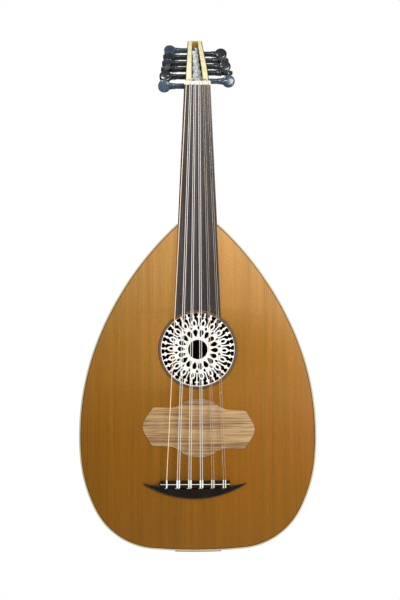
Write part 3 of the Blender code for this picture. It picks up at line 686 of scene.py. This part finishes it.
def make_rose():
    """The pierced disc: petals round a middle hole, eyes in oval rings, and finials to the rim.

    Its shapes are in millimetres, as radius and distance from an axis of the pattern."""
    step = tau / PETALS
    turn = radians(-2)
    petal = [(18.9, 0.0), (20.6, 1.5), (23.0, 2.7), (25.6, 3.4), (28.0, 2.9), (29.8, 0.0)]
    petal += [(r, -w) for r, w in petal[-2:0:-1]]
    diamond = [(29.2, 0.0), (32.4, 2.0), (35.6, 0.0), (32.4, -2.0)]
    eye = [(39.1 + 3.5 * cos(tau * k / 12), 2.1 * sin(tau * k / 12)) for k in range(12)]
    # Each gap beside an eye: radius and distance from the eye's axis on its near side, then radius
    # and distance from the stem between two eyes on its far side.
    near = [(34.6, 2.8), (37.0, 3.8), (39.1, 4.1), (41.5, 3.8), (43.6, 2.7), (45.2, 1.2),
            (47.2, 0.8), (48.6, 2.4), (49.6, 0.9), (51.2, 1.3), (53.3, 1.0)]
    far = [(53.3, 1.4), (51.6, 1.6), (50.2, 0.9), (49.0, 3.0), (47.9, 2.7), (46.4, 1.0), (44.0, 0.8),
           (41.5, 0.9), (39.1, 0.8), (37.0, 1.1), (35.2, 2.1)]
    loops = [[(x, z) for x, z in circle(ROSE_RADIUS / MM, 144)], circle(14.4, 64)]

    def polar(shape, angle):
        return [(r * cos(angle) - w * sin(angle), r * sin(angle) + w * cos(angle)) for r, w in shape]

    for i in range(PETALS):
        angle = turn + i * step
        # The rim narrows towards the fingerboard.
        reach = 1 + 0.007 * (1 + sin(angle))
        loops.append(smooth_loop(polar(petal, angle), 3))
        loops.append(polar(eye, angle))
        loops.append(polar(diamond, angle + step / 2))
        for side in (1, -1):
            gap = [(r * (reach if r > 50 else 1), side * w) for r, w in near]
            stem = [(r * (reach if r > 50 else 1), -side * w) for r, w in far]
            loops.append(smooth_loop(polar(gap, angle) + polar(stem, angle + side * step / 2), 3))
    loops = [[(x * MM, ROSE_Z + z * MM) for x, z in loop] for loop in loops]
    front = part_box("rose")[0][1]
    mesh = plate_mesh("pierced_rose", loops, front, front + 0.0011, 0.00016, 1)
    finish_piece("pierced_rose", mesh, ROSE_WHITE, "rose_white", replaces=("rose",))


# ---- neck, fingerboard and nut ----

def make_neck():
    rings = []
    steps, beyond = 24, 0.030
    for i in range(steps + 1):
        z = NECK_Z + (beyond - NECK_Z) * i / steps
        share = (z - NECK_Z) / -NECK_Z
        half = JOINT_HALF_WIDTH + (NUT_HALF_WIDTH - JOINT_HALF_WIDTH) * share
        depth = JOINT_HALF_WIDTH + (NECK_DEPTH_AT_NUT - JOINT_HALF_WIDTH) * share
        rings.append([(x, max(y, NECK_TOP), z) for x, y, z in half_round(half, depth, z)])
    bm = bmesh.new()
    bm.from_mesh(loft_mesh("neck_shell", rings))
    along = Vector((0, sin(PEGBOX_START_ANGLE), cos(PEGBOX_START_ANGLE)))
    cut = bmesh.ops.bisect_plane(bm, geom=bm.verts[:] + bm.edges[:] + bm.faces[:], plane_no=along,
                                 plane_co=(0, NECK_TOP, NUT_THICKNESS), clear_outer=True)
    rim = [item for item in cut["geom_cut"] if isinstance(item, bmesh.types.BMEdge)]
    bmesh.ops.holes_fill(bm, edges=rim)
    finish_piece("neck_shaft", mesh_from(bm, "neck_shaft"), NECK_WOOD, "neck_wood", replaces=("neck",))


def make_fingerboard():
    low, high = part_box("fingerboard")
    slope = (high[0] - NUT_HALF_WIDTH) / (-ROSE_Z - RING_RADIUS)
    radius = RING_RADIUS + 2 * GAP
    corner = asin(high[0] / radius)
    arc = [(radius * sin(corner * (k / 20 - 1)), ROSE_Z + radius * cos(corner * (k / 20 - 1)))
           for k in range(41)]
    top = -GAP
    half = NUT_HALF_WIDTH - slope * top
    shape = arc + [(half, top), (-half, top)]
    mesh = plate_mesh("fingerboard_top", [shape], low[1], -GAP, 0.0003, 2)
    board = add_object("fingerboard_body", mesh)
    end = NECK_Z + GAP
    wide = NUT_HALF_WIDTH - slope * end
    inner = [(-wide, end), (wide, end), (half, top), (-half, top)]
    mesh = plate_mesh("under", [inner], low[1] + 0.0004, NECK_TOP - GAP, 0.0001, 1)
    boolean(board, mesh, "UNION")
    finish_piece("playing_board", mesh_of(board), ROSEWOOD, "rosewood", replaces=("fingerboard",))


def make_nut():
    """A rounded bone bar with a shallow slot under each string."""
    small, large, end = 0.0005, 0.0016, 0.0004
    profile = [(NECK_TOP - GAP, 0.0), (NUT_TOP + small, 0.0)]
    profile += [(NUT_TOP + small - small * sin(pi * k / 8), small - small * cos(pi * k / 8))
                for k in range(1, 5)]
    profile += [(NUT_TOP + large - large * cos(pi * k / 16),
                 NUT_THICKNESS - large + large * sin(pi * k / 16)) for k in range(9)]
    profile += [(NECK_TOP - GAP, NUT_THICKNESS)]
    rings = []
    for x in (-NUT_HALF_WIDTH, -NUT_HALF_WIDTH + end, NUT_HALF_WIDTH - end, NUT_HALF_WIDTH):
        shrink = end if abs(x) == NUT_HALF_WIDTH else 0.0
        rings.append([(x, y + (shrink if y < 0 else 0), min(max(z, shrink), NUT_THICKNESS - shrink))
                      for y, z in profile])
    nut = add_object("nut_blank", loft_mesh("nut_bar", rings))
    for string in strings():
        slot_path = [(string["nut_x"], NUT_TOP - string["radius"] * 0.35, z) for z in (-0.002, 0.008)]
        boolean(nut, tube_mesh("slot", slot_path, string["radius"] * 1.2), "DIFFERENCE")
    finish_piece("nut_bar", mesh_of(nut), BONE, "bone", replaces=("nut",))


# ---- pickguard and bridge ----

def make_pickguard():
    low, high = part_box("pickguard")
    centre = Vector(((low[0] + high[0]) / 2, (low[2] + high[2]) / 2))
    arch_radius, arch_half, arch_top = 0.053, 0.021, 0.0430
    quarter = [(0.0828, 0.0), (0.0824, 0.0035), (0.0806, 0.0085), (0.0760, 0.0165), (0.0715, 0.0235),
               (0.0690, 0.0268), (0.0660, 0.0283), (0.0600, 0.0285), (0.0500, 0.0284),
               (0.0420, 0.0286), (0.0360, 0.0299), (0.0305, 0.0325), (0.0255, 0.0356)]
    for i in range(4, 0, -1):
        angle = asin(arch_half / arch_radius) * i / 4
        quarter.append((arch_radius * sin(angle), arch_top - arch_radius * (1 - cos(angle))))
    upper = quarter + [(0.0, arch_top)] + [(-x, z) for x, z in quarter[::-1]]
    lower = [(x, -z) for x, z in upper[-2:0:-1]]
    tilt = Matrix.Rotation(radians(-2.2), 2)
    shape = [tuple(centre + tilt @ Vector(point)) for point in upper + lower]
    mesh = plate_mesh("pick_plate", [smooth_loop(shape, 3)], low[1], high[1], 0.0002, 2)
    finish_piece("pick_plate", mesh, STRIPED, "zebrano", replaces=("pickguard",), grain="ZYX")


def bridge_outline():
    """The crescent: a long arc below and two hollow horns above, meeting in points."""
    half, sag, tip_drop, dip = 0.0770, 0.0230, 0.0040, 0.0076
    tips = BRIDGE_FRONT - tip_drop
    radius = (half ** 2 + sag ** 2) / (2 * sag)
    sweep = asin(half / radius)
    lower = [(BRIDGE_CENTRE_X + radius * sin(sweep * (k / 24 - 1)),
              tips - sag + radius * (1 - cos(sweep * (k / 24 - 1)))) for k in range(49)]
    upper = []
    for k in range(1, 24):
        across = half * (1 - k / 12)
        fall = dip * (1 - (across / half) ** 2)
        upper.append((BRIDGE_CENTRE_X + across, tips - fall))
    return lower + upper


def make_bridge():
    """Crescent with a domed back and the raised tie block, drilled for the strings."""
    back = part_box("bridge")[1][1]
    mesh = plate_mesh("bridge_body", [bridge_outline()], BRIDGE_BODY_FRONT, back, 0.0014, 5)
    bridge = add_object("bridge_blank", mesh)
    left, right = BRIDGE_CENTRE_X - TIE_BLOCK_HALF_WIDTH, BRIDGE_CENTRE_X + TIE_BLOCK_HALF_WIDTH
    block = rectangle(left, right, BRIDGE_FRONT - TIE_BLOCK_LENGTH, BRIDGE_FRONT)
    mesh = plate_mesh("block", [block], TIE_BLOCK_FRONT, back - 0.0004, 0.0006, 3)
    boolean(bridge, mesh, "UNION")
    for string in strings():
        path = [(string["bridge_x"], STRING_Y_AT_BRIDGE, BRIDGE_FRONT + side * 0.02) for side in (1, -1)]
        boolean(bridge, tube_mesh("hole", path, BRIDGE_HOLE_RADIUS), "DIFFERENCE")
    finish_piece("bridge_piece", mesh_of(bridge), EBONY, "ebony", replaces=("bridge",))
    inlay = rectangle(left + 0.0006, right - 0.0006, BRIDGE_FRONT - 0.0056, BRIDGE_FRONT - 0.0048)
    mesh = plate_mesh("tie_line", [inlay], TIE_BLOCK_FRONT - 0.00003, TIE_BLOCK_FRONT + 0.0005, 0.00001, 1)
    finish_piece("tie_line", mesh, BONE, "bone")


# ---- pegbox ----

def along_box(s):
    """Centre line of the pegbox: (y, z, lean) at a distance s from the neck."""
    lean = PEGBOX_START_ANGLE
    half = PEGBOX_DEPTH[0] / 2
    y = NECK_TOP + GAP * sin(lean) + half * cos(lean)
    z = NUT_THICKNESS + GAP * cos(lean) - half * sin(lean)
    left = s
    for i, (length, turn) in enumerate(PEGBOX_ARCS):
        last = i == len(PEGBOX_ARCS) - 1
        step = left if last else min(left, length)
        radius = length / turn
        after = lean + step / radius
        y += radius * (cos(lean) - cos(after))
        z += radius * (sin(after) - sin(lean))
        lean = after
        left -= step
    return y, z, lean


def taper(pair, s):
    return pair[0] + (pair[1] - pair[0]) * s / BOX_LENGTH


def box_point(s, offset):
    y, z, lean = along_box(s)
    return y - offset * cos(lean), z + offset * sin(lean)


def peg_place(number):
    s = FIRST_PEG + PEG_PITCH * number
    return s, *along_box(s)[:2]


def peg_side(number):
    return -1 if number % 2 == 0 else 1


def peg_radius(number, x):
    half = taper(PEGBOX_WIDTH, peg_place(number)[0]) / 2
    share = (peg_side(number) * x + half) / (2 * half)
    return PEG_RADIUS_AT_TIP + (PEG_RADIUS_AT_HEAD - PEG_RADIUS_AT_TIP) * share


def box_loft(name, section, steps=36, start=0.0, end=BOX_LENGTH):
    """A piece that follows the pegbox; section(s) gives its (x, offset) points at a distance s."""
    rings, grain = [], []
    for i in range(steps + 1):
        s = start + (end - start) * i / steps
        points = section(s)
        rings.append([(x, *box_point(s, offset)) for x, offset in points])
        grain.append([(offset, x, s) for x, offset in points])
    return loft_mesh(name, rings, grain)


def cheek_place(s):
    """The cheek at a distance s: half the pegbox's depth, then its outer and inner half widths."""
    outer = taper(PEGBOX_WIDTH, s) / 2
    return taper(PEGBOX_DEPTH, s) / 2, outer, outer - taper(CHEEK_THICKNESS, s)


def cheek_wall(s):
    depth, outer, inner = cheek_place(s)
    edge = 0.0008
    return [(outer, depth - OVERLAY), (outer, edge - depth), (outer - edge, -depth), (inner, -depth),
            (inner, depth - OVERLAY)]


def facing_edge(s):
    depth, outer = cheek_place(s)[:2]
    top = depth - OVERLAY
    front = top + OVERLAY * 0.96
    return [(outer, front), (outer, top), (outer - OVERLAY_LINE, top), (outer - OVERLAY_LINE, front)]


def facing(s):
    depth, outer, inner = cheek_place(s)
    outer -= OVERLAY_LINE
    top = depth - OVERLAY
    soft = 0.0003
    return [(outer, top), (outer, depth), (inner + soft, depth), (inner, depth - soft), (inner, top)]


def facing_end(s):
    depth, outer, inner = cheek_place(s)
    return [(outer, depth - OVERLAY), (outer, depth), (inner, depth), (inner, depth - OVERLAY)]


def make_cheek(side, short):
    """One side wall with a bore for every peg, and the dark-edged pale facing on its front."""
    def mirrored(section):
        return lambda s: [(side * x, offset) for x, offset in section(s)]

    name = f"pegbox_{short}_cheek"
    cheek = add_object("cheek_blank", box_loft(name + "_wall", mirrored(cheek_wall)))
    for number in range(PEGS):
        s, y, z = peg_place(number)
        middle = side * (taper(PEGBOX_WIDTH, s) - taper(CHEEK_THICKNESS, s)) / 2
        bore = circle(peg_radius(number, middle) + BORE_CLEARANCE, 32)
        rings = [[(middle + end, y + u, z + v) for u, v in bore] for end in (-0.009, 0.009)]
        boolean(cheek, loft_mesh("bore", rings), "DIFFERENCE")
    finish_piece(name + "_wall", mesh_of(cheek), NECK_WOOD, "neck_wood", replaces=(name,))
    end = BOX_LENGTH - OVERLAY_END
    for part, section, steps, span, finish, slot in (
            ("overlay_edge", facing_edge, 36, (0.0, end), DARK_LINE, "dark_inlay"),
            ("overlay", facing, 36, (0.0, end), PALE_YELLOW, "maple_binding"),
            ("overlay_end", facing_end, 1, (end, BOX_LENGTH), GOLD_MAPLE, "maple")):
        part = f"{short}_{part}"
        finish_piece(part, box_loft(part, mirrored(section), steps, *span), finish, slot)


def pegbox_floor(s):
    near = -taper(PEGBOX_DEPTH, s) / 2 - TOUCH
    far = near - PEGBOX_BACK_THICKNESS
    half = taper(PEGBOX_WIDTH, s) / 2
    edge = 0.0010
    return [(half, near), (half, far + edge), (half - edge, far), (edge - half, far), (-half, far + edge),
            (-half, near)]


def tip_block(s):
    depth = taper(PEGBOX_DEPTH, s) / 2
    half = cheek_place(s)[2] - TOUCH
    return [(half, depth), (half, -depth), (-half, -depth), (-half, depth)]


def make_pegbox():
    make_cheek(-1, "bass")
    make_cheek(1, "treble")
    finish_piece("pegbox_floor", box_loft("pegbox_floor", pegbox_floor), NECK_WOOD, "neck_wood",
                 replaces=("pegbox_back",))
    finish_piece("tip_block", box_loft("tip_block", tip_block, 2, BOX_LENGTH - PEGBOX_TIP_LENGTH),
                 GOLD_MAPLE, "maple", replaces=("pegbox_tip",))


def make_pegs():
    """Turned shafts with a collar and a domed round thumb piece, each on its own turning body."""
    for number in range(PEGS):
        s, y, z = peg_place(number)
        side = peg_side(number)
        half = taper(PEGBOX_WIDTH, s) / 2
        collar = half + taper(PEG_NECK_LENGTH, s)
        centre = collar + 0.0010 + PEG_HEAD_RADIUS
        profile = [(-half, 0.0004), (-half, PEG_RADIUS_AT_TIP - 0.0004),
                   (-half + 0.0004, PEG_RADIUS_AT_TIP), (half, PEG_RADIUS_AT_HEAD),
                   (half + 0.006, PEG_RADIUS_AT_HEAD + 0.0001), (collar - 0.0060, 0.0040),
                   (collar - 0.0056, 0.0046), (collar - 0.0010, 0.0047), (collar - 0.0004, 0.0044),
                   (collar + 0.0002, 0.0052), (collar + 0.0014, 0.0053), (collar + 0.0022, 0.0050),
                   (collar + 0.0028, 0.0042), (collar + 0.0044, 0.0040), (centre, 0.0020)]
        rings = [[(side * x, u, v) for u, v in circle(radius, 28)] for x, radius in profile]
        peg = add_object("peg_blank", loft_mesh("peg", rings))
        thick = PEG_HEAD_THICKNESS / 2
        lens = []
        for k in range(13):
            angle = pi * (k / 12 - 0.5)
            lens.append((thick * sin(angle) * (0.92 + 0.08 * cos(angle)),
                         PEG_HEAD_RADIUS * (1 - (1 - cos(angle)) ** 2 * 0.62) if 0 < k < 12 else 0.0010))
        rings = [[(side * centre + u, v, t) for u, v in circle(radius, 40)] for t, radius in lens]
        boolean(peg, loft_mesh("head", rings), "UNION")
        mesh = mesh_of(peg)
        mesh.transform(Matrix.Translation((0, y, z)) @ Matrix.Rotation(PEG_TURNS[number], 4, "X"))
        # Three pegs take the lighter copy with its painted reflection; the rest keep the darker,
        # blue-tinted peg ebony.
        finish = PAINTED_SHEEN_EBONY if number in SHEEN_LIT_PEGS else BLUE_SHEEN_PEG_EBONY
        finish_piece(f"turned_peg_{number + 1:02d}", mesh, finish, "ebony",
                     body=f"tuner_{number + 1:02d}", replaces=(f"peg_{number + 1:02d}",), sharp=50)


# ---- strings ----

def strings():
    """Names and places of the eleven strings, bass to treble; the lowest course is a single one."""
    found = []
    for course in range(6):
        members = ("",) if course == 0 else ("a", "b")
        for member in members:
            pair = 0.0 if course == 0 else (-0.5 if member == "a" else 0.5)
            found.append({
                "name": f"string_{6 - course}{member}",
                "rank": len(found),
                "course": course,
                "radius": COURSE_DIAMETERS[course] / 2,
                "nut_x": (COURSE_CENTRE_AT_NUT + (course - 2.5) * COURSE_SPACING_AT_NUT
                          + pair * PAIR_SPACING_AT_NUT),
                "bridge_x": (COURSE_CENTRE_AT_BRIDGE + (course - 2.5) * COURSE_SPACING_AT_BRIDGE
                             + pair * PAIR_SPACING_AT_BRIDGE),
            })
    low, high = 0, len(found) - 1
    for number in range(PEGS):
        if peg_side(number) < 0:
            found[low]["peg"] = number
            low += 1
        else:
            found[high]["peg"] = number
            high -= 1
    return found


def peg_contact(string):
    """Where a string meets its peg: the point, (y, z) where it enters the pegbox, and its reach
    from the peg's axis."""
    radius = string["radius"]
    edge_y, edge_z = box_point(ENTRY_PLACE, taper(PEGBOX_DEPTH, ENTRY_PLACE) / 2 + GAP + 0.0002 + radius)
    s, peg_y, peg_z = peg_place(string["peg"])
    peg_inner = taper(PEGBOX_WIDTH, s) / 2 - taper(CHEEK_THICKNESS, s)
    peg_x = peg_side(string["peg"]) * (peg_inner - 0.0017)
    if string["peg"] == PEGS - 1:
        peg_x = 0.0
    reach = peg_radius(string["peg"], peg_x) + TOUCH + radius
    gone_y, gone_z = peg_y - edge_y, peg_z - edge_z
    lean = atan2(gone_y, gone_z) - asin(reach / sqrt(gone_y ** 2 + gone_z ** 2))
    return (peg_x, peg_y - reach * cos(lean), peg_z + reach * sin(lean)), (edge_y, edge_z), reach


def make_strings():
    finishes = [(COPPER, "string_copper")] + [(SILVER, "string_silver")] * 3 + [(NYLON, "string_nylon")] * 2
    block_back = BRIDGE_FRONT - TIE_BLOCK_LENGTH
    for string in strings():
        name, radius = string["name"], string["radius"]
        contact, edge, reach = peg_contact(string)
        y_nut = NUT_TOP - radius
        entry = ((string["rank"] - 5) * ENTRY_SPACING, *edge)
        x0, x1 = string["bridge_x"], string["nut_x"]
        points = [(x0, STRING_Y_AT_BRIDGE, z)
                  for z in (block_back - 0.0006, BRIDGE_FRONT, BRIDGE_FRONT + 0.002)]
        points += [(x1, y_nut, z) for z in (-0.001, 0.001, NUT_THICKNESS - 0.0012)]
        points += [(x1, y_nut + 0.0004, NUT_THICKNESS + 0.0004), entry]
        finish, slot = finishes[string["course"]]
        finish_tube(name + "_line", points, radius, finish, slot, 14, replaces=(name,))
        finish_tube(name + "_silk", [entry, contact], radius * 0.60, SILK, slot, 14)
        make_tie(string, SILK if string["course"] < 4 else finish, slot)
        make_winding(string, contact, reach, slot)


def make_tie(string, finish, slot):
    """The loop over the tie block, doubled, and its short end tucked away to the bass side."""
    radius = TIE_RADIUS
    x = string["bridge_x"]
    top = TIE_BLOCK_FRONT - radius - TOUCH
    front = BRIDGE_FRONT + radius + 0.0001
    back = BRIDGE_FRONT - TIE_BLOCK_LENGTH - radius - 0.0001
    path = [(x - 0.0001, STRING_Y_AT_BRIDGE, back), (x - 0.0003, -0.0079, back - 0.0001),
            (x - 0.0005, top, back + 0.0010), (x - 0.0005, top, (front + back) / 2),
            (x - 0.0005, top, front - 0.0010), (x - 0.0003, -0.0079, front + 0.0001),
            (x + 0.0002, -0.0072, front + 0.0003)]
    finish_tube(string["name"] + "_tie", smooth_path(path, 5), radius, SILK, slot)
    tail = [(x + 0.0004, -0.0066, front - 0.0002), (x + 0.0005, -0.0080, front + 0.0001),
            (x + 0.0006, top, front - 0.0012), (x + 0.0006, top, (front + back) / 2),
            (x + 0.0005, top, back + 0.0010), (x - 0.0001, -0.0078, back - 0.0004),
            (x - 0.0008, -0.0066, back - 0.0010), (x - 0.0018, -0.0058, back - 0.0012),
            (x - 0.0028, -0.0054, back - 0.0004)]
    finish_tube(string["name"] + "_tail", smooth_path(tail, 5), radius, finish, slot)


def make_winding(string, start, reach, slot):
    """A few turns round the peg, which turn with it."""
    number = string["peg"]
    peg_y, peg_z = peg_place(number)[1:]
    x, y, z = start
    first = atan2(z - peg_z, y - peg_y)
    pitch = WINDING_RADIUS * 1.9
    inward = -peg_side(number)
    path = []
    for k in range(WINDING_TURNS * STEPS_PER_TURN + 1):
        turn = k / STEPS_PER_TURN
        angle = first - tau * turn
        move = x + inward * (pitch * turn + 0.0003 * min(turn, 1) * sin(k * 0.37 + number))
        loose = reach + 0.0003 * (1 + sin(k * 0.23 + 2.1 * number)) * min(max(turn - 1, 0), 1)
        path.append((move, peg_y + loose * cos(angle), peg_z + loose * sin(angle)))
    finish_tube(string["name"] + "_winding", path, WINDING_RADIUS, SILK, slot, 10,
                body=f"tuner_{number + 1:02d}")


# ---- inner pieces keep their CAD shape ----

def paint_inner():
    for name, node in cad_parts.items():
        if name.startswith("brace_"):
            finish = SPRUCE
        elif name.endswith("_block"):
            finish = BLOCK_WOOD
        else:
            continue
        node.data.materials.clear()
        node.data.materials.append(finish)


# ---- stage, light and camera ----

def make_stage():
    """A pale round floor below the hanging oud that fades into the white room."""
    bm = bmesh.new()
    rim = [bm.verts.new((x, y, TAIL_Z - FLOOR_DROP)) for x, y in circle(1.0, 96)]
    bm.faces.new(rim)
    floor = add_object("floor", mesh_from(bm, "floor"))
    make = Finish("pale_floor", 0.9, specular=0.1)
    make.shader.inputs["Base Color"].default_value = (0.90, 0.90, 0.90, 1)
    flat = make.place((1, 1, 0), "object")
    reach = make.node("ShaderNodeVectorMath", {0: flat}, operation="LENGTH").outputs["Value"]
    fade = make.levels(reach, 0.35, 0.98, 1.0, 0.0, interpolation_type="SMOOTHSTEP")
    make.links.new(fade, make.shader.inputs["Alpha"])
    floor.data.materials.append(make.material)


def make_lights():
    """A white studio: softboxes above and to the right, and a sky that only the camera sees white."""
    world = bpy.data.worlds.new("studio")
    world.use_nodes = True
    nodes, links = world.node_tree.nodes, world.node_tree.links
    background = nodes["Background"]
    path = nodes.new("ShaderNodeLightPath")
    strength = nodes.new("ShaderNodeMapRange")
    strength.inputs["To Min"].default_value = 0.36
    links.new(path.outputs["Is Camera Ray"], strength.inputs["Value"])
    links.new(strength.outputs["Result"], background.inputs["Strength"])
    background.inputs["Color"].default_value = (1, 1, 1, 1)
    scene.world = world
    middle = (0, 0, -0.35)
    for name, place, size, power, target in (
            ("key", (0.60, -1.6, 0.85), (0.8, 0.5), 24, middle),
            ("side", (0.90, -0.85, -0.25), (0.4, 0.6), 11, (0.1, 0, -0.36)),
            ("fill", (-1.6, -1.6, 0.1), (1.2, 1.2), 5, middle),
            ("pegbox", (-0.20, -0.55, 0.75), (0.15, 0.15), 3, (0, 0.05, 0.05)),
            ("back", (-0.9, 1.9, 0.6), (1.0, 1.0), 20, middle)):
        data = bpy.data.lights.new(name, "AREA")
        data.shape = "RECTANGLE"
        data.size, data.size_y = size
        data.energy = power
        light = add_object(name, data)
        light.location = place
        light.rotation_euler = (Vector(target) - Vector(place)).to_track_quat("-Z", "Y").to_euler()
    scene.view_settings.view_transform = "Standard"
    scene.view_settings.look = "None"


def make_camera():
    """Square on to the soundboard, a little to the bass side, level with the top of the body."""
    target = Vector((0.0034, 0.0, -0.3178))
    distance, view_height, sensor = 2.0, 0.8862, 36
    yaw = radians(1.4)
    place = target + Vector((-distance * sin(yaw), -distance * cos(yaw), 0.0))
    data = bpy.data.cameras.new("camera")
    data.sensor_width = sensor
    data.lens = sensor * distance / view_height
    camera = add_object("camera", data)
    camera.location = place
    look = (target - place).to_track_quat("-Z", "Y")
    roll = Matrix.Rotation(radians(-0.12), 3, "Z")
    camera.rotation_euler = (look.to_matrix() @ roll).to_euler()
    scene.camera = camera


make_soundboard()
make_edges()
make_bowl()
make_tail_clasp()
make_ring()
make_rose()
make_neck()
make_fingerboard()
make_nut()
make_pickguard()
make_bridge()
make_pegbox()
make_pegs()
make_strings()
paint_inner()
make_stage()
make_lights()
make_camera()
